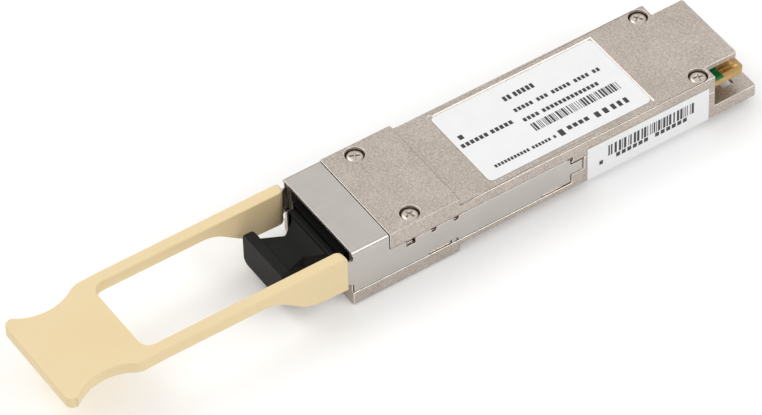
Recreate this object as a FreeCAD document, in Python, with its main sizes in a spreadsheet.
# Pluggable optical transceiver module with a parallel-fibre port, a spring-returned
# latch slider with a moulded pull tab, and a dust plug in the port.
# Millimetres. +X runs from the pull tab to the card edge, +Y to the left, +Z up.
# X = 0 is the rear face of the raised nose block, where the module stops against
# its cage. Y = 0 is the centre line, and Z = 0 is the underside of the body.
import FreeCAD, Part
import Sketcher
import math
import os
import re

doc = FreeCAD.newDocument("transceiver")
sheet = doc.addObject("Spreadsheet::Sheet", "Sizes")
subparts = []


def sizes(**values):
    """Add driving dimensions to the sheet, one row each, in millimetres."""
    for alias, number in values.items():
        row = len(sheet.getUsedCells()) // 2 + 1
        sheet.set("A%d" % row, alias)
        sheet.set("B%d" % row, str(number))
        sheet.setAlias("B%d" % row, alias)
    doc.recompute()


def bind(thing, prop, formula):
    """Drive a property by a formula whose words are cells of the sheet."""
    words_as_cells = re.sub(r"[a-z]\w+", lambda word: "Sizes." + word.group(), str(formula))
    thing.setExpression(prop, words_as_cells)


def block(name, x, y, z):
    """A box that runs from low to high along each axis."""
    solid = doc.addObject("Part::Box", name)
    for prop, axis, (low, high) in (("Length", "x", x), ("Width", "y", y), ("Height", "z", z)):
        bind(solid, "Placement.Base." + axis, low)
        bind(solid, prop, "(%s) - (%s)" % (high, low))
    return solid


def rod(name, along, start, radius, length):
    """A cylinder that starts at a point and runs along +X, +Y or +Z."""
    turns = {"x": ((0, 1, 0), 90), "y": ((1, 0, 0), -90), "z": ((0, 0, 1), 0)}
    axis, angle = turns[along]
    solid = doc.addObject("Part::Cylinder", name)
    solid.Placement.Rotation = FreeCAD.Rotation(FreeCAD.Vector(*axis), angle)
    for letter, formula in zip("xyz", start):
        bind(solid, "Placement.Base." + letter, formula)
    bind(solid, "Radius", radius)
    bind(solid, "Height", length)
    return solid


def prism(name, plane, corners, low, high):
    """A straight-sided outline on the XY or XZ plane, extruded from low to high across it."""
    sketch = doc.addObject("Sketcher::SketchObject", name + "_outline")
    if plane == "XZ":
        sketch.Placement.Rotation = FreeCAD.Rotation(FreeCAD.Vector(1, 0, 0), 90)
    count = len(corners)
    ring = [math.tau * i / count for i in range(count)]
    start = [FreeCAD.Vector(math.cos(angle), math.sin(angle), 0) for angle in ring]
    for i in range(count):
        sketch.addGeometry(Part.LineSegment(start[i], start[(i + 1) % count]))
    for i in range(count):
        sketch.addConstraint(Sketcher.Constraint("Coincident", i, 2, (i + 1) % count, 1))
    for i, (across_place, up_place) in enumerate(corners):
        places = (("DistanceX", across_place, start[i].x), ("DistanceY", up_place, start[i].y))
        for kind, formula, now in places:
            index = sketch.addConstraint(Sketcher.Constraint(kind, -1, 1, i, 1, now))
            bind(sketch, "Constraints[%d]" % index, formula)
    solid = doc.addObject("Part::Extrusion", name)
    solid.Base = sketch
    solid.DirMode = "Normal"
    solid.Solid = True
    forward, backward = ("-(%s)" % low, high) if plane == "XZ" else (high, "-(%s)" % low)
    bind(solid, "LengthFwd", forward)
    bind(solid, "LengthRev", backward)
    return solid


def joined(name, solids):
    fusion = doc.addObject("Part::MultiFuse", name)
    fusion.Shapes = solids
    fusion.Refine = True
    return fusion


def without(name, base, tools):
    """The base with every tool cut away."""
    cut = doc.addObject("Part::Cut", name)
    cut.Base = base
    cut.Tool = tools[0] if len(tools) == 1 else joined(name + "_tools", tools)
    cut.Refine = True
    return cut


def group(name, solids):
    """Separate solids that share one node."""
    several = doc.addObject("Part::Compound", name)
    several.Links = solids
    return several


NEAR = 0.02


def lies(edge, direction, **places):
    """True for a straight edge along a direction whose middle is at the given places."""
    if edge.Curve.TypeId != "Part::GeomLine":
        return False
    if abs(abs(getattr(edge.Curve.Direction, direction)) - 1) > 1e-6:
        return False
    middle = edge.CenterOfMass
    return all(abs(getattr(middle, axis) - place) < NEAR for axis, place in places.items())


def rounded(name, base, radius, chosen):
    """Round the edges of the base that the test picks."""
    doc.recompute()
    edges = base.Shape.Edges
    size = cell(radius)
    fillet = doc.addObject("Part::Fillet", name)
    fillet.Base = base
    fillet.Edges = [(i + 1, size, size) for i in range(len(edges)) if chosen(edges[i])]
    return fillet


def cell(alias):
    return float(sheet.get(alias))


def across(half):
    """The span from one side of the centre line to the other."""
    return ("-(%s)" % half, half)


def side_span(side, inner, outer):
    """The span between two distances from the centre line, on the left (1) or right (-1)."""
    return (inner, outer) if side > 0 else ("-(%s)" % outer, "-(%s)" % inner)


def signed(side, formula):
    return formula if side > 0 else "-(%s)" % formula


def subpart(solid, label):
    """Name a finished piece and list it for export."""
    solid.Label = label
    subparts.append(solid)


BOTH_SIDES = ((1, "left"), (-1, "right"))

# ---------------------------------------------------------------- envelope
# The body is a standard pluggable shell: what fits the cage is fixed by its standard.
sizes(
    half_width=9.175,
    body_top=8.5,
    body_end=45.05,
    nose_length=18.7,
    block_length=12.25,
    nose_top=9.62,
    nose_drop=1.15,
    nose_foot_rear=0.4,
    split_level=5.45,
    port_axis=4.3,
    board_top=6.25,
    board_thick=1.0,
    past=2,
    overlap=0.01,
)

# ------------------------------------------------- latch recess and cavities
# Both castings share these hollows: each is cut by the same kind of tool, only over
# its own height.
sizes(
    recess_half=8.79,
    recess_low=1.4,
    recess_high=6.63,
    recess_end=19.35,
    notch_end=21.5,
    notch_low=3.12,
    mouth_half=7.6,
    mouth_depth=7.4,
    mouth_low=0.1,
    mouth_high=8.2,
    mouth_corner=1.0,
    hook_bay_half=5.9,
    hook_bay_end=4,
    neck_half=3.7,
    neck_low=2.5,
    neck_high=5.9,
    bay_start=1,
    bay_end=43.9,
    bay_half=7.0,
    bay_floor=1.0,
    bay_roof=7.5,
    ledge_half=7.95,
    board_slack=0.05,
    split_gap=0.08,
    tail_slot_start=44.6,
    tail_slot_half=8.35,
    boss_start=41.6,
    boss_inner=6.3,
)


def latch_recesses(owner, low, high):
    """Shallow side recesses for the latch arms, with a notch for each arm's tail."""
    tools = []
    for side, word in BOTH_SIDES:
        y = side_span(side, "recess_half", "half_width + past")
        tools.append(block(owner + "_recess_" + word, ("-nose_length - past", "recess_end"), y, (low, high)))
    return tools


def port_hollow(owner, low, high):
    """The port's mouth, and the narrower bay behind it for the receptacle's hooks."""
    mouth_x = ("-nose_length - past", "-nose_length + mouth_depth")
    bay_x = ("-nose_length + mouth_depth - overlap", "-hook_bay_end")
    return [
        block(owner + "_mouth", mouth_x, across("mouth_half"), (low, high)),
        block(owner + "_hook_bay", bay_x, across("hook_bay_half"), (low, high)),
    ]


def round_mouth(name, mouth):
    """Round the two lower corners of the mouth, or of what fills it."""
    doc.recompute()
    floor = mouth.Shape.BoundBox.ZMin
    return rounded(name, mouth, "mouth_corner", lambda edge: lies(edge, "x", z=floor))


def screw_holes(owner, low, length):
    """Clearance holes for the four cover screws."""
    tools = []
    for place, x, y in SCREW_PLACES:
        tools.append(rod(owner + "_hole_" + place, "z", (x, y, low), "screw_hole_radius", length))
    return tools


sizes(
    front_screw_x=7.5,
    front_screw_y=7.1,
    rear_screw_x=43.1,
    rear_screw_y=7.55,
    screw_hole_radius=0.85,
    counterbore_radius=1.52,
    counterbore_depth=0.95,
    screw_length=5.7,
)
SCREW_PLACES = [
    ("front_left", "-front_screw_x", "front_screw_y"),
    ("front_right", "-front_screw_x", "-front_screw_y"),
    ("rear_left", "rear_screw_x", "rear_screw_y"),
    ("rear_right", "rear_screw_x", "-rear_screw_y"),
]
SCREW_TOPS = ["nose_top", "nose_top", "body_top", "body_top"]

# ------------------------------------------------------------ lower housing
# Die-cast tray: the lower half of the nose, the floor and side walls of the body, and
# a plain sled under the card edge.
sizes(
    sled_end=52.6,
    sled_top=2.5,
    front_step_level=3.25,
    front_step=0.6,
    pocket_front=8.85,
    pocket_rear=0.4,
    pocket_inner=7.6,
    pocket_low=1.75,
    pocket_high=3.45,
    side_pocket_inner=8.0,
    rear_pocket_front=14.5,
    rear_pocket_rear=17.5,
    rear_pocket_high=2.4,
    gasket_inner=8.15,
    gasket_outer=8.55,
    gasket_depth=0.3,
    gasket_end=40.5,
    sled_slot_front=48.3,
    sled_slot_rear=50.2,
    sled_slot_inner=3.6,
    sled_slot_outer=6.85,
    sled_hollow_front=46.2,
    sled_hollow_rear=51.4,
    sled_hollow_half=7.9,
    sled_hollow_top=1.7,
    casting_edge=0.3,
    low_edge=0.6,
)
high = "split_level + past"
tray = joined("tray", [
    block("tray_body", (0, "body_end"), across("half_width"), (0, "split_level")),
    block("tray_nose", ("-nose_length", 0), across("half_width"), (0, "split_level")),
    block("tray_foot", ("-nose_length", "-nose_foot_rear"), across("half_width"), ("-nose_drop", "past")),
    block("tray_sled", ("body_end", "sled_end"), across("half_width"), (0, "sled_top")),
])
mouth, hook_bay = port_hollow("tray", "mouth_low", high)
tools = latch_recesses("tray", "recess_low", high)
tools += [round_mouth("tray_mouth_round", mouth), hook_bay]
tools += screw_holes("tray", "nose_top - counterbore_depth - screw_length", "screw_length + past")[:2]
tools += screw_holes("tray_rear", "body_top - counterbore_depth - screw_length", "screw_length + past")[2:]
tools.append(block(
    "tray_neck", ("-hook_bay_end - overlap", "bay_start + overlap"), across("neck_half"), ("neck_low", high)))
tools.append(block("tray_bay", ("bay_start", "boss_start"), across("bay_half"), ("bay_floor", high)))
tools.append(block("tray_bay_rear", ("boss_start", "bay_end"), across("boss_inner"), ("bay_floor", high)))
ledge_z = ("board_top - board_thick - board_slack", high)
tools.append(block("tray_ledge", ("bay_start", "boss_start"), across("ledge_half"), ledge_z))
tools.append(block("tray_ledge_rear", ("boss_start", "body_end + past"), across("boss_inner"), ledge_z))
tools.append(block("tray_tail_slot", ("tail_slot_start", "body_end + past"), across("tail_slot_half"), ledge_z))
tools.append(block(
    "tray_front_step", ("-nose_length - past", "-nose_length + front_step"),
    across("half_width + past"), ("front_step_level", high)))
for side, word in BOTH_SIDES:
    tools.append(block(
        "tray_notch_" + word, ("recess_end", "notch_end"),
        side_span(side, "recess_half", "half_width + past"), ("notch_low", high)))
    tools.append(block(
        "spring_pocket_" + word, ("-pocket_front", "-pocket_rear"),
        side_span(side, "pocket_inner", "recess_half + overlap"), ("pocket_low", "pocket_high")))
    tools.append(block(
        "rear_pocket_" + word, ("rear_pocket_front", "rear_pocket_rear"),
        side_span(side, "side_pocket_inner", "recess_half + overlap"), ("pocket_low", "rear_pocket_high")))
    tools.append(block(
        "gasket_groove_" + word, ("bay_start", "gasket_end"),
        side_span(side, "gasket_inner", "gasket_outer"), ("split_level - gasket_depth", high)))
    tools.append(block(
        "sled_slot_" + word, ("sled_slot_front", "sled_slot_rear"),
        side_span(side, "sled_slot_inner", "sled_slot_outer"), ("-past", "sled_top + past")))
tools.append(block(
    "sled_hollow", ("sled_hollow_front", "sled_hollow_rear"),
    across("sled_hollow_half"), ("-past", "sled_hollow_top")))
tray_cut = without("tray_cut", tray, tools)
wide = cell("half_width")


def long_low_edge(edge):
    """The long lower edges of nose and body."""
    outer = abs(abs(edge.CenterOfMass.y) - wide) < NEAR
    return outer and (lies(edge, "x", z=-cell("nose_drop")) or lies(edge, "x", z=0))


tray_round = rounded("tray_round", tray_cut, "low_edge", long_low_edge)
lower_housing = rounded(
    "lower_housing", tray_round, "casting_edge", lambda edge: lies(edge, "z", x=cell("sled_end")))
subpart(lower_housing, "lower_housing")

# ---------------------------------------------------------------- top cover
# Die-cast cover: the raised nose block, the roof with its label pocket, and a flat
# tongue over the card edge. Its front steps down under the latch band.
sizes(
    tongue_end=50.65,
    tongue_half=6.78,
    lip_length=18.3,
    lip_top=9.25,
    label_pocket_front=5.85,
    label_pocket_rear=34.85,
    label_pocket_half=8.05,
    label_pocket_depth=0.15,
    relief_radius=0.6,
    relief_inset=0.3,
    drain_radius=0.38,
    drain_x=19.3,
    drain_level=6.3,
    window_front=9.5,
    window_rear=7.9,
    window_low=5.35,
    lug_gap=0.26,
    lug_split=6.0,
    moon_front=4.75,
    moon_rear=0.87,
    moon_level=6.2,
    moon_radius=0.45,
    step_edge=0.28,
)
low = "split_level - past"
lid_bottom = "split_level + split_gap"
lid = joined("lid", [
    block("lid_roof", (0, "body_end"), across("half_width"), (lid_bottom, "body_top")),
    block("lid_block", ("-block_length", 0), across("half_width"), (lid_bottom, "nose_top")),
    block("lid_lip", ("-lip_length", "-block_length"), across("recess_half"), (lid_bottom, "lip_top")),
    block("lid_tongue", ("body_end", "tongue_end"), across("tongue_half"), ("bay_roof", "body_top")),
])
tools = latch_recesses("lid", low, "recess_high")
tools += port_hollow("lid", low, "mouth_high")
tools += screw_holes("lid", low, "nose_top")
for (place, x, y), top in zip(SCREW_PLACES, SCREW_TOPS):
    tools.append(rod(
        "counterbore_" + place, "z", (x, y, top + " - counterbore_depth"), "counterbore_radius", "past"))
tools.append(block(
    "lid_neck", ("-hook_bay_end - overlap", "bay_start + overlap"), across("neck_half"), (low, "neck_high")))
tools.append(block("lid_bay", ("bay_start", "boss_start"), across("bay_half"), (low, "bay_roof")))
tools.append(block("lid_bay_rear", ("boss_start", "bay_end"), across("boss_inner"), (low, "bay_roof")))
ledge_z = (low, "board_top + board_slack")
tools.append(block("lid_ledge", ("bay_start", "boss_start"), across("ledge_half"), ledge_z))
tools.append(block("lid_ledge_rear", ("boss_start", "body_end + past"), across("boss_inner"), ledge_z))
tools.append(block("lid_tail_slot", ("tail_slot_start", "body_end + past"), across("tail_slot_half"), ledge_z))
tools.append(block(
    "label_pocket", ("label_pocket_front", "label_pocket_rear"), across("label_pocket_half"),
    ("body_top - label_pocket_depth", "body_top + past")))
tools.append(rod(
    "pocket_relief", "z",
    ("label_pocket_front + relief_inset", "label_pocket_half - relief_inset", "body_top - label_pocket_depth"),
    "relief_radius", "past"))
pocket_top = "recess_high - overlap"
for side, word in BOTH_SIDES:
    start = "side_pocket_inner" if side > 0 else "-side_pocket_inner - past"
    deep = side_span(side, "side_pocket_inner", "recess_half + overlap")
    tools.append(rod("drain_" + word, "y", ("drain_x", start, "drain_level"), "drain_radius", "past"))
    for place in ("moon_front", "moon_rear"):
        tools.append(block(
            "%s_%s" % (place, word), ("-%s - moon_radius" % place, "-%s + moon_radius" % place), deep,
            ("moon_level - moon_radius", pocket_top)))
    # A lug between two slits and over a third shows through the arm's stop window.
    tools.append(block(
        "slit_front_" + word, ("-window_front", "-window_front + lug_gap"), deep, (low, pocket_top)))
    tools.append(block(
        "slit_rear_" + word, ("-window_rear - lug_gap", "-window_rear"), deep, (low, pocket_top)))
    tools.append(block(
        "slit_low_" + word, ("-window_front", "-window_rear"), deep, ("lug_split - lug_gap", "lug_split")))
lid_cut = without("lid_cut", lid, tools)
step_round = rounded(
    "step_round", lid_cut, "step_edge", lambda edge: lies(edge, "y", x=0, z=cell("nose_top")))


def lid_corner(edge):
    """The tongue's upright corners, and the long upper edges of the lip and the block."""
    if lies(edge, "z", x=cell("tongue_end")):
        return True
    return lies(edge, "x", z=cell("nose_top")) or lies(edge, "x", z=cell("lip_top"))


top_cover = rounded("top_cover", step_round, "casting_edge", lid_corner)
subpart(top_cover, "top_cover")

# ------------------------------------------------------------- cover screws
# Four small pan-head screws with a cross recess, sunk in the cover's counterbores.
sizes(
    head_radius=1.36,
    head_height=0.72,
    shank_radius=0.8,
    recess_reach=0.82,
    recess_width=0.3,
    cross_depth=0.4,
    head_root=0.2,
)
screws = []
for (place, x, y), top in zip(SCREW_PLACES, SCREW_TOPS):
    seat = top + " - counterbore_depth"
    head = rod("head_" + place, "z", (x, y, seat), "head_radius", "head_height")
    root = seat + " - screw_length + head_root"
    shank = rod("shank_" + place, "z", (x, y, root), "shank_radius", "screw_length")
    crown = (seat + " + head_height - cross_depth", seat + " + head_height + past")
    long_way = (x + " - recess_reach", x + " + recess_reach")
    short_way = (x + " - recess_width / 2", x + " + recess_width / 2")
    wing = (y + " - recess_width / 2", y + " + recess_width / 2")
    reach = (y + " - recess_reach", y + " + recess_reach")
    blank = joined("screw_blank_" + place, [head, shank])
    crossed = [
        block("cross_a_" + place, long_way, wing, crown),
        block("cross_b_" + place, short_way, reach, crown),
    ]
    screws.append(without("screw_" + place, blank, crossed))
subpart(group("screw_set", screws), "cover_screws")

# ------------------------------------------------------------- cover gasket
# Two conductive elastomer cords in grooves along the split line.
sizes(gasket_gap=0.03)
cords = []
for side, word in BOTH_SIDES:
    cords.append(block(
        "gasket_" + word, ("bay_start + gasket_gap", "gasket_end - gasket_gap"),
        side_span(side, "gasket_inner + gasket_gap", "gasket_outer - gasket_gap"),
        ("split_level - gasket_depth", "split_level")))
subpart(group("gasket_set", cords), "cover_gasket")

# ------------------------------------------------------------ circuit board
# Glass-epoxy board, notched round the rear screw bosses, with a full-width card edge.
sizes(
    board_front=2.2,
    board_end=51.1,
    board_half=7.8,
    card_half=8.21,
    notch_front=41.3,
    waist_half=6.15,
    card_start=44.75,
    card_chamfer=0.5,
)
board_z = ("board_top - board_thick", "board_top")
board_blank = joined("board_blank", [
    block("board_main", ("board_front", "notch_front"), across("board_half"), board_z),
    block("board_waist", ("notch_front", "card_start"), across("waist_half"), board_z),
    prism("card_edge", "XY", [
        ("card_start", "-card_half"),
        ("board_end - card_chamfer", "-card_half"),
        ("board_end", "-card_half + card_chamfer"),
        ("board_end", "card_half - card_chamfer"),
        ("board_end - card_chamfer", "card_half"),
        ("card_start", "card_half"),
    ], *board_z),
])
subpart(board_blank, "circuit_board")

# ------------------------------------------------------------ edge contacts
# Nineteen gold-plated pads on each face, 0.8 mm apart; every third pair is longer.
sizes(
    pad_pitch=0.8,
    pad_width=0.54,
    pad_thick=0.04,
    pad_end=50.5,
    pad_start=47.6,
    pad_short=0.4,
)
PADS = 19
for face, bottom in (("top", "board_top"), ("bottom", "board_top - board_thick - pad_thick")):
    pads = []
    for i in range(PADS):
        middle = "pad_pitch * (%d)" % (i - PADS // 2)
        end = "pad_end" if i % 3 == 0 else "pad_end - pad_short"
        pads.append(block(
            "pad_%s_%d" % (face, i), ("pad_start", end),
            (middle + " - pad_width / 2", middle + " + pad_width / 2"), (bottom, bottom + " + pad_thick")))
    subpart(group("pads_" + face, pads), "edge_contacts_" + face)


# --------------------------------------------------------- board components
def chip(name, x, y, size_x, size_y, height, under=False):
    """A component that stands on the board's top face, or hangs from its underside."""
    z = ("board_top", "board_top + %s" % height)
    if under:
        z = ("board_top - board_thick - %s" % height, "board_top - board_thick")
    return block(name, (x, "%s + %s" % (x, size_x)), (y, "%s + %s" % (y, size_y)), z)


# Control, laser driver and receiver chips, and the arrays of four lasers and four
# photodiodes on 0.25 mm pitch bars under the lens block.
sizes(
    controller_x=24,
    controller_half=2.5,
    controller_high=0.85,
    driver_x=12.6,
    driver_long=2.2,
    driver_wide=2.1,
    driver_high=0.3,
    driver_y=-2.75,
    receiver_y=0.65,
    array_x=11,
    array_wide=0.3,
    array_long=1,
    array_high=0.15,
    laser_y=-2.2,
    diode_y=1.2,
)
bare_chip = ("driver_long", "driver_wide", "driver_high", True)
array_chip = ("array_wide", "array_long", "array_high", True)
subpart(
    chip("controller", "controller_x", "-controller_half", "2 * controller_half", "2 * controller_half",
         "controller_high", True),
    "microcontroller")
subpart(chip("driver", "driver_x", "driver_y", *bare_chip), "laser_driver_chip")
subpart(chip("receiver", "driver_x", "receiver_y", *bare_chip), "receiver_chip")
subpart(chip("lasers", "array_x", "laser_y", *array_chip), "laser_array")
subpart(chip("diodes", "array_x", "diode_y", *array_chip), "photodiode_array")
# Rows of ceramic capacitors, resistors and power inductors, each row across the board:
# its x, first y, pitch in y, how many, one part's length, width and height, and
# whether it hangs under the board.
ROWS = {
    "chip_capacitors": (
        (38.5, -5.2, 1.3, 9, (1.0, 0.5, 0.5), False),
        (31.0, -5.0, 1.6, 6, (1.0, 0.5, 0.5), True),
        (16.5, -5.6, 1.25, 10, (0.6, 0.3, 0.3), True),
    ),
    "chip_resistors": (
        (36.4, -4.9, 1.1, 10, (0.6, 0.3, 0.25), False),
        (20.0, -5.6, 1.4, 9, (0.6, 0.3, 0.25), True),
    ),
    "power_inductors": ((34.0, -4.2, 5.4, 2, (2.5, 2.0, 1.2), True),),
}
for label, rows in ROWS.items():
    small = []
    for number, (x, first_y, pitch, count, size, under) in enumerate(rows):
        for i in range(count):
            y = first_y + i * pitch
            small.append(chip("%s_%d_%d" % (label, number, i), x, y, *size, under))
    subpart(group(label + "_set", small), label)

# --------------------------------------------------------------- lens block
# Moulded high-temperature optic: a 45 degree mirror turns the light from the arrays
# into the fibre ribbon.
sizes(
    lens_front=8.6,
    lens_rear=12.3,
    lens_half=3.3,
    lens_drop=2.1,
    lens_pocket_front=10.4,
    lens_pocket_depth=0.4,
    ribbon_half=1.55,
    ribbon_thick=0.3,
    ribbon_seat=1.6,
    mirror_cut=1.2,
    lens_wall=0.5,
    socket_play=0.02,
    end_play=0.05,
)
lens_top = "board_top - board_thick"
lens_low = "board_top - board_thick - lens_drop"
lens_body = prism("lens_body", "XZ", [
    ("lens_front", lens_low),
    ("lens_rear - mirror_cut", lens_low),
    ("lens_rear", lens_low + " + mirror_cut"),
    ("lens_rear", lens_top),
    ("lens_front", lens_top),
], "-lens_half", "lens_half")
ribbon_z = ("port_axis - ribbon_thick / 2", "port_axis + ribbon_thick / 2")
lens_tools = [
    block("lens_pocket", ("lens_pocket_front", "lens_rear + past"), across("lens_half - lens_wall"),
          (lens_top + " - lens_pocket_depth", lens_top + " + past")),
    block("ribbon_socket", ("lens_front - past", "lens_front + ribbon_seat"),
          across("ribbon_half + socket_play"),
          ("port_axis - ribbon_thick / 2 - socket_play", "port_axis + ribbon_thick / 2 + socket_play")),
]
subpart(without("lens", lens_body, lens_tools), "lens_block")

# ------------------------------------------------- ferrule, pins and ribbon
# Twelve-fibre ferrule with two guide pins, held by a pin clamp. The flat fibre
# ribbon runs from it to the lens block.
sizes(
    ferrule_front=11.5,
    ferrule_step=5.8,
    ferrule_back=3.4,
    ferrule_half=3.2,
    ferrule_high=1.25,
    collar_half=3.5,
    collar_high=1.5,
    collar_play=0.03,
    pin_radius=0.35,
    pin_hole=0.37,
    pin_pitch=2.3,
    pin_tip=13.8,
    pin_back=2.6,
    clamp_front=3.3,
    clamp_back=2.2,
    window_half=1.7,
    window_high=0.35,
)


def axial(half_height):
    """A span of height about the port's axis."""
    return ("port_axis - (%s)" % half_height, "port_axis + %s" % half_height)


ferrule_blank = joined("ferrule_blank", [
    block("ferrule_nose", ("-ferrule_front", "-ferrule_step"), across("ferrule_half"), axial("ferrule_high")),
    block("ferrule_collar", ("-ferrule_step", "-ferrule_back"), across("collar_half"), axial("collar_high")),
])
clamp_plate = block("clamp_plate", ("-clamp_front", "-clamp_back"), across("collar_half"), axial("collar_high"))
ferrule_tools = [
    block("ferrule_boot", ("-ferrule_step", "-ferrule_back + past"),
          across("window_half"), axial("window_high"))
]
clamp_tools = [
    block("clamp_window", ("-clamp_front - past", "-clamp_back + past"),
          across("window_half"), axial("window_high"))
]
pins = []
for side, word in BOTH_SIDES:
    centre = signed(side, "pin_pitch")
    hole_from = ("-ferrule_front - past", centre, "port_axis")
    ferrule_tools.append(rod("pin_hole_" + word, "x", hole_from, "pin_hole", "ferrule_front + 2 * past"))
    clamp_tools.append(rod("clamp_hole_" + word, "x", hole_from, "pin_hole", "ferrule_front + 2 * past"))
    pins.append(rod("pin_" + word, "x", ("-pin_tip", centre, "port_axis"), "pin_radius", "pin_tip - pin_back"))
subpart(without("ferrule", ferrule_blank, ferrule_tools), "mt_ferrule")
subpart(without("clamp", clamp_plate, clamp_tools), "pin_clamp")
subpart(group("pin_pair", pins), "guide_pins")
ribbon_x = ("-ferrule_step + end_play", "lens_front + ribbon_seat - end_play")
subpart(block("ribbon", ribbon_x, across("ribbon_half"), ribbon_z), "fibre_ribbon")

# ------------------------------------------------------- optical receptacle
# Moulded frame behind the mouth: a port frame, two spring hooks that grip the mating
# plug, and a rear wall that seats the ferrule.
sizes(
    frame_front=16.4,
    frame_gap=0.12,
    frame_wall=0.9,
    frame_roof=0.5,
    shelf=0.8,
    back_wall_front=7.0,
    back_wall_rear=5.85,
    hook_tip=13.4,
    hook_inner=5.05,
    hook_thick=0.6,
    hook_grip=0.2,
    hook_grip_length=0.9,
    hook_high=1.4,
)
frame_y = across("mouth_half - frame_gap")
frame_z = ("mouth_low + frame_gap", "mouth_high - frame_gap")
step_x = "-nose_length + mouth_depth"
frame_ring = without(
    "frame_ring",
    round_mouth(
        "frame_round", block("frame_outer", ("-frame_front", step_x + " - frame_gap"), frame_y, frame_z)),
    [block(
        "frame_opening", ("-frame_front - past", step_x + " + past"),
        across("mouth_half - frame_gap - frame_wall"),
        ("mouth_low + frame_gap + frame_roof", "mouth_high - frame_gap - frame_roof"))])
inner_y = across("hook_bay_half - frame_gap")
shelf_x = (step_x + " - frame_gap - overlap", "-back_wall_rear")
back_wall = without(
    "back_wall",
    block("back_wall_blank", ("-back_wall_front", "-back_wall_rear"), inner_y, frame_z),
    [block("ferrule_window", ("-back_wall_front - past", "-back_wall_rear + past"),
           across("ferrule_half + end_play"), axial("ferrule_high + end_play"))])
pieces = [
    frame_ring,
    back_wall,
    block("shelf_low", shelf_x, inner_y, ("mouth_low + frame_gap", "mouth_low + frame_gap + shelf")),
    block("shelf_high", shelf_x, inner_y, ("mouth_high - frame_gap - shelf", "mouth_high - frame_gap")),
]
for side, word in BOTH_SIDES:
    pieces.append(block(
        "hook_arm_" + word, ("-hook_tip", "-back_wall_front"),
        side_span(side, "hook_inner", "hook_inner + hook_thick"), axial("hook_high")))
    pieces.append(block(
        "hook_grip_" + word, ("-hook_tip", "-hook_tip + hook_grip_length"),
        side_span(side, "hook_inner - hook_grip", "hook_inner + overlap"), axial("hook_high")))
subpart(joined("receptacle", pieces), "optical_receptacle")

# ------------------------------------------------------- receptacle retainer
# Stamped strap across the ferrule collar that keeps receptacle and ferrule together.
sizes(
    retainer_front=5.8,
    retainer_rear=5.1,
    retainer_half=5.6,
    retainer_thick=0.25,
)
retainer_x = ("-retainer_front", "-retainer_rear")
strap = without(
    "strap",
    block("strap_plate", retainer_x, across("retainer_half"), axial("collar_high + retainer_thick")),
    [block("strap_window", ("-retainer_front - past", "-retainer_rear + past"),
           across("collar_half + collar_play"), axial("collar_high + collar_play"))])
subpart(strap, "receptacle_retainer")

# ------------------------------------------------------------- thermal pads
# Soft gap pads: one between the board and the cover over the optics, one between the
# controller and the floor.
sizes(
    pad_slack=0.03,
    optics_pad_front=10,
    optics_pad_rear=18,
    optics_pad_half=4,
    controller_pad_inset=0.2,
)
subpart(
    block("gap_pad_top", ("optics_pad_front", "optics_pad_rear"), across("optics_pad_half"),
          ("board_top + pad_slack", "bay_roof - pad_slack")),
    "thermal_pad_top")
subpart(
    block("gap_pad_low",
          ("controller_x + controller_pad_inset", "controller_x + 2 * controller_half - controller_pad_inset"),
          across("controller_half - controller_pad_inset"),
          ("bay_floor + pad_slack", "board_top - board_thick - controller_high - pad_slack")),
    "thermal_pad_bottom")

# ------------------------------------------------------------------- labels
# A label in the cover's pocket, and one on the right side that folds under the body.
sizes(
    label_front=6.02,
    label_rear=34.65,
    label_half=7.8,
    label_thick=0.1,
    label_corner=0.8,
    side_label_front=22.1,
    side_label_rear=43.9,
    side_label_top=6.75,
    side_label_fold=2.6,
)
label_low = "body_top - label_pocket_depth"
top_blank = block(
    "top_label_blank", ("label_front", "label_rear"), across("label_half"),
    (label_low, label_low + " + label_thick"))
subpart(rounded("top_label", top_blank, "label_corner", lambda edge: lies(edge, "z")), "top_label")

fold_blank = block(
    "fold_blank", ("side_label_front", "side_label_rear"),
    ("-half_width - label_thick", "-half_width + side_label_fold"), ("-label_thick", "side_label_top"))
sizes(label_fold_radius=0.7)
film = cell("label_thick")
fold_outer = rounded(
    "fold_outer", fold_blank, "label_fold_radius", lambda edge: lies(edge, "x", y=-wide - film, z=-film))
fold_core_blank = block(
    "fold_core_blank", ("side_label_front - past", "side_label_rear + past"),
    ("-half_width", "-half_width + side_label_fold + past"), (0, "side_label_top + past"))
fold_core = rounded(
    "fold_core", fold_core_blank, "low_edge", lambda edge: lies(edge, "x", y=-wide, z=0))
subpart(without("side_label", fold_outer, [fold_core]), "side_label")

# --------------------------------------------------------------- latch band
# One stamped and folded stainless sheet: a band over the nose, two side arms that end
# in latch tails, a spring tab on each arm, and two straps moulded into the pull tab.
sizes(
    sheet=0.3,
    band_half=9.15,
    band_front=18.7,
    cheek_front=18.5,
    band_rear=12.4,
    arm_low=1.52,
    arm_low_rear=1.8,
    arm_gap=2.15,
    arm_high=6.5,
    arm_end=19.15,
    tail_end=21.3,
    tail_low=3.3,
    tail_high=5.25,
    foot_front=5.8,
    foot_rise=5.1,
    foot_back=1.65,
    toe_front=1.15,
    toe_back=0.5,
    toe_slope=0.2,
    step_back=13.8,
    gap_front=14.6,
    gap_back=17.4,
    arm_corner=0.5,
    bend_shift=0.05,
    strap_low=3.05,
    strap_high=7.8,
    strap_inset=0.55,
    strap_end=26,
    strap_bend=0.9,
    spring_tab_x=1.3,
    spring_tab_low=2.3,
    spring_tab_high=3.3,
    spring_tab_inner=7.75,
    bend_outer=0.65,
    bend_inner=0.35,
)
band_outer = rounded(
    "band_outer",
    block("band_blank", ("-band_front", "-band_rear"), across("band_half"), ("arm_low", "nose_top")),
    "bend_outer", lambda edge: lies(edge, "x", z=cell("nose_top")))
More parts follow.
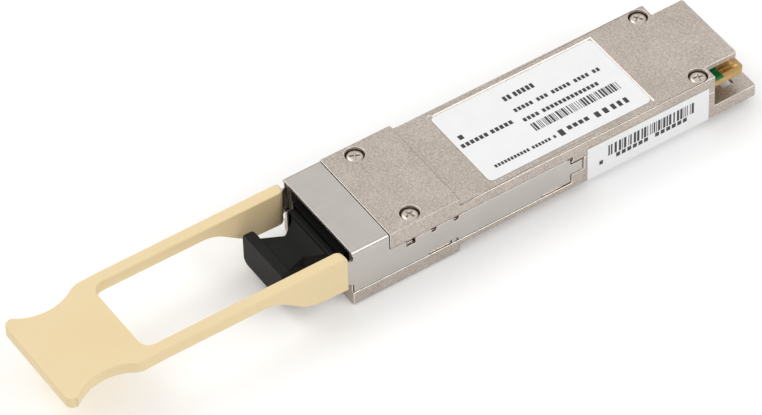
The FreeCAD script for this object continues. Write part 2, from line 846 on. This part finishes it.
band_core = rounded(
    "band_core",
    block("band_core_blank", ("-band_front - past", "-band_rear + past"), across("band_half - sheet"),
          ("arm_low - past", "nose_top - sheet")),
    "bend_inner", lambda edge: lies(edge, "x", z=cell("nose_top") - cell("sheet")))
cheek_trim = block(
    "cheek_trim", ("-band_front - past", "-cheek_front"), across("band_half + past"),
    ("arm_low - past", "nose_top - bend_outer"))
band = without("band", band_outer, [band_core, cheek_trim])
arm_pieces = [band]
for side, word in BOTH_SIDES:
    y = side_span(side, "band_half - sheet", "band_half")
    arm = prism("arm_" + word, "XZ", [
        ("-band_rear - overlap", "arm_low"),
        ("-foot_front", "arm_low"),
        ("-foot_rise", "arm_gap"),
        ("-foot_back", "arm_gap"),
        ("-foot_back", "arm_low"),
        ("-toe_front", "arm_low"),
        ("-toe_front", "arm_gap"),
        ("-toe_back - toe_slope", "arm_gap"),
        ("-toe_back", "arm_low"),
        ("step_back", "arm_low"),
        ("gap_front", "arm_gap"),
        ("gap_back", "arm_gap"),
        ("gap_back + toe_slope", "arm_low_rear"),
        ("arm_end", "arm_low_rear"),
        ("arm_end", "tail_low"),
        ("tail_end", "tail_low"),
        ("tail_end", "tail_high"),
        ("arm_end", "tail_high"),
        ("arm_end", "arm_high - arm_corner"),
        ("arm_end - arm_corner", "arm_high"),
        ("-band_rear - overlap", "arm_high"),
    ], *y)
    through = (y[0] + " - past", y[1] + " + past")
    cuts = [block(
        "stop_window_" + word, ("-window_front", "-window_rear"), through, ("window_low", "arm_high + past"))]
    for place in ("moon_front", "moon_rear"):
        cuts.append(rod(
            "arm_%s_%s" % (place, word), "y", ("-" + place, through[0], "moon_level"), "moon_radius",
            "sheet + 2 * past"))
        cuts.append(block(
            "arm_%s_mouth_%s" % (place, word),
            ("-%s - moon_radius" % place, "-%s + moon_radius" % place), through,
            ("moon_level", "arm_high + past")))
    arm_pieces.append(without("trimmed_arm_" + word, arm, cuts))
    arm_pieces.append(block(
        "spring_tab_" + word, ("-spring_tab_x", "-spring_tab_x + sheet"),
        side_span(side, "spring_tab_inner", "band_half - sheet + overlap"),
        ("spring_tab_low", "spring_tab_high")))
    outer = signed(side, "band_half")
    inner = signed(side, "band_half - sheet")
    outer_in = signed(side, "band_half - strap_inset")
    inner_in = signed(side, "band_half - strap_inset - sheet")
    arm_pieces.append(prism("strap_" + word, "XY", [
        ("-cheek_front + overlap", outer),
        ("-cheek_front", outer),
        ("-cheek_front - strap_bend", outer_in),
        ("-strap_end", outer_in),
        ("-strap_end", inner_in),
        ("-cheek_front - strap_bend + bend_shift", inner_in),
        ("-cheek_front + overlap", inner),
    ], "strap_low", "strap_high"))
latch_band = joined("latch_sheet", arm_pieces)
subpart(latch_band, "latch_band")

# ----------------------------------------------------------------- pull tab
# Soft moulded loop: a flared grip plate, a window, and two arms that deepen where they
# are moulded round the latch straps.
sizes(
    tab_end=65.85,
    tab_front=19.4,
    tab_half=9.1,
    tab_top=9.2,
    tab_top_end=8.45,
    tab_thick=2.1,
    tab_thick_end=2.0,
    tab_slope_start=50,
    window_end=52.15,
    window_side=7.15,
    waist_x=59.3,
    tab_waist=7.2,
    waist_radius=7.8,
    tab_corner=1.3,
    tab_shoulder=3,
    arm_end_corner=1.3,
    arm_end_top=0.7,
    window_corner=1.8,
    cheek_start=31.75,
    cheek_full=25.9,
    cheek_low=2.72,
    cheek_low_end=2.45,
    cheek_blend=6,
    slot_play=0.02,
)
plan = without("tab_plan", block(
    "tab_plan_blank", ("-tab_end", "-tab_front"), across("tab_half"), (0, "tab_top + past")),
    [rod("waist_" + word, "z", ("-waist_x", signed(side, "tab_waist + waist_radius"), -1), "waist_radius", 14)
     for side, word in BOTH_SIDES])
window_blank = block(
    "window_blank", ("-window_end", "-tab_front + past"), across("window_side"),
    ("-past", "tab_top + 2 * past"))
window = rounded(
    "tab_window", window_blank, "window_corner", lambda edge: lies(edge, "z", x=-cell("window_end")))
loop_plan = without("loop_plan", plan, [window])
end_round = rounded(
    "end_round", loop_plan, "tab_corner", lambda edge: lies(edge, "z", x=-cell("tab_end")))
depth = cell("tab_half") - cell("tab_waist")
shoulder_x = math.sqrt(2 * cell("waist_radius") * depth - depth ** 2) - cell("waist_x")
shoulder_round = rounded(
    "shoulder_round", end_round, "tab_shoulder", lambda edge: lies(edge, "z", x=shoulder_x))
loop_round = rounded(
    "loop_round", shoulder_round, "arm_end_corner",
    lambda edge: lies(edge, "z", x=-cell("tab_front"))
    and abs(edge.CenterOfMass.y) < cell("window_side") + NEAR)
side_view = prism("tab_side_view", "XZ", [
    ("-tab_end", "tab_top_end - tab_thick_end"),
    ("-tab_slope_start", "tab_top - tab_thick"),
    ("-cheek_start", "tab_top - tab_thick"),
    ("-cheek_full", "cheek_low"),
    ("-tab_front", "cheek_low_end"),
    ("-tab_front", "tab_top"),
    ("-tab_slope_start", "tab_top"),
    ("-tab_end", "tab_top_end"),
], "-tab_half - past", "tab_half + past")


def cheek_edge(edge):
    """The two bends in the underside where the arms deepen."""
    return any(lies(edge, "y", x=-cell(place)) for place in ("cheek_start", "cheek_full"))


cheek_round = rounded("cheek_round", side_view, "cheek_blend", cheek_edge)
side_round = rounded(
    "side_round", cheek_round, "arm_end_top",
    lambda edge: lies(edge, "y", x=-cell("tab_front"), z=cell("tab_top")))
tab_solid = doc.addObject("Part::Common", "tab_solid")
tab_solid.Base = loop_round
tab_solid.Tool = side_round
strap_slots = []
for side, word in BOTH_SIDES:
    strap_slots.append(block(
        "strap_slot_" + word, ("-strap_end - slot_play", "-tab_front + past"),
        side_span(side, "band_half - strap_inset - sheet - slot_play", "band_half - strap_inset + slot_play"),
        ("strap_low - slot_play", "strap_high + slot_play")))
subpart(without("tab", tab_solid, strap_slots), "pull_tab")

# ----------------------------------------------------------- return springs
# One small compression spring in a pocket behind each arm, between the pocket's front
# wall and the arm's spring tab.
sizes(
    spring_radius=0.42,
    spring_wire=0.07,
    spring_pitch=0.62,
    spring_y=8.2,
    spring_level=2.8,
    spring_slack=0.12,
)
for side, word in BOTH_SIDES:
    helix = doc.addObject("Part::Helix", "coil_path_" + word)
    bind(helix, "Radius", "spring_radius")
    bind(helix, "Pitch", "spring_pitch")
    bind(helix, "Height", "pocket_front - spring_tab_x - 2 * spring_slack")
    wire = doc.addObject("Part::Circle", "wire_" + word)
    wire.Placement.Rotation = FreeCAD.Rotation(FreeCAD.Vector(1, 0, 0), 90)
    bind(wire, "Placement.Base.x", "spring_radius")
    bind(wire, "Radius", "spring_wire")
    coil = doc.addObject("Part::Sweep", "spring_" + word)
    coil.Sections = [wire]
    coil.Spine = (helix, ["Edge1"])
    coil.Solid = True
    coil.Frenet = True
    coil.Placement.Rotation = FreeCAD.Rotation(FreeCAD.Vector(0, 1, 0), 90)
    bind(coil, "Placement.Base.x", "-pocket_front + spring_slack")
    bind(coil, "Placement.Base.y", signed(side, "spring_y"))
    bind(coil, "Placement.Base.z", "spring_level")
    subpart(coil, "return_spring_" + word)

# ---------------------------------------------------------------- dust plug
# Soft rubber plug: a grip plate, a waisted neck, a stepped flange that fills the mouth
# and a hollow tongue that fits between the receptacle's hooks.
sizes(
    plug_droop=0.4,
    grip_front=28.0,
    grip_thick=1.65,
    grip_half=5.65,
    grip_high=3.1,
    grip_corner=1.3,
    root_half=4.1,
    root_high=2.25,
    neck_waist_x=22.6,
    neck_half_wide=2.6,
    neck_half_high=1.85,
    flare_x=21.3,
    flare_half=3.6,
    flare_high=2.0,
    heel_half=4.4,
    heel_high=2.35,
    flange_front=20.1,
    flange_step=18.9,
    flange_half=6.15,
    flange_high=2.7,
    flange_corner=1.1,
    collar_x=17.0,
    plug_collar_half=5.85,
    plug_collar_high=2.45,
    tongue_half_wide=4.7,
    tongue_half_high=2.9,
    tongue_back=8.0,
    cup_half=3.9,
    cup_high=2.0,
    cup_front=14.6,
)


def drooped(half_height):
    """A span of height about the axis of the plug's outer part, which hangs a little."""
    return ("port_axis - plug_droop - (%s)" % half_height, "port_axis - plug_droop + %s" % half_height)


def frustum(name, x, near, far):
    """A tapered box along +X between two half-sizes (half width, half height)."""
    solid = doc.addObject("Part::Wedge", name)
    solid.Placement.Rotation = FreeCAD.Rotation(FreeCAD.Vector(0, 0, 1), -90)
    bind(solid, "Placement.Base.z", "port_axis - plug_droop")
    bind(solid, "Ymin", x[0])
    bind(solid, "Ymax", x[1])
    for prefix, (half, high) in (("", near), ("2", far)):
        bind(solid, "X%smin" % prefix, "-(%s)" % half)
        bind(solid, "X%smax" % prefix, half)
        bind(solid, "Z%smin" % prefix, "-(%s)" % high)
        bind(solid, "Z%smax" % prefix, high)
    return solid


grip = rounded(
    "grip",
    block("grip_blank", ("-grip_front", "-grip_front + grip_thick"), across("grip_half"), drooped("grip_high")),
    "grip_corner", lambda edge: lies(edge, "x"))
flange = rounded(
    "flange",
    block("flange_blank", ("-flange_front", "-flange_step"), across("flange_half"), drooped("flange_high")),
    "flange_corner", lambda edge: lies(edge, "x"))
waist = ("neck_half_wide", "neck_half_high")
flare = ("flare_half", "flare_high")
plug_pieces = [
    grip,
    frustum("neck_front", ("-grip_front + grip_thick", "-neck_waist_x"), ("root_half", "root_high"), waist),
    frustum("neck_rear", ("-neck_waist_x", "-flare_x"), waist, flare),
    frustum("neck_heel", ("-flare_x", "-flange_front"), flare, ("heel_half", "heel_high")),
    flange,
    block("plug_collar", ("-flange_step", "-collar_x"),
          across("plug_collar_half"), drooped("plug_collar_high")),
    block("plug_tongue", ("-collar_x", "-tongue_back"), across("tongue_half_wide"), axial("tongue_half_high")),
]
cup = block("plug_cup", ("-cup_front", "-tongue_back + past"), across("cup_half"), axial("cup_high"))
subpart(without("plug", joined("plug_solid", plug_pieces), [cup]), "dust_plug")

# ------------------------------------------------------------------- export
doc.recompute()
os.makedirs("parts", exist_ok=True)
faults = [thing.Name for thing in doc.Objects if {"Invalid", "Error"} & set(thing.State)]
if faults:
    raise RuntimeError("objects that did not compute: %s" % faults)
for solid in subparts:
    if solid.Shape.isNull() or not solid.Shape.isValid():
        raise RuntimeError("bad shape: " + solid.Label)
    solid.Shape.exportStep("parts/%s.step" % solid.Label)
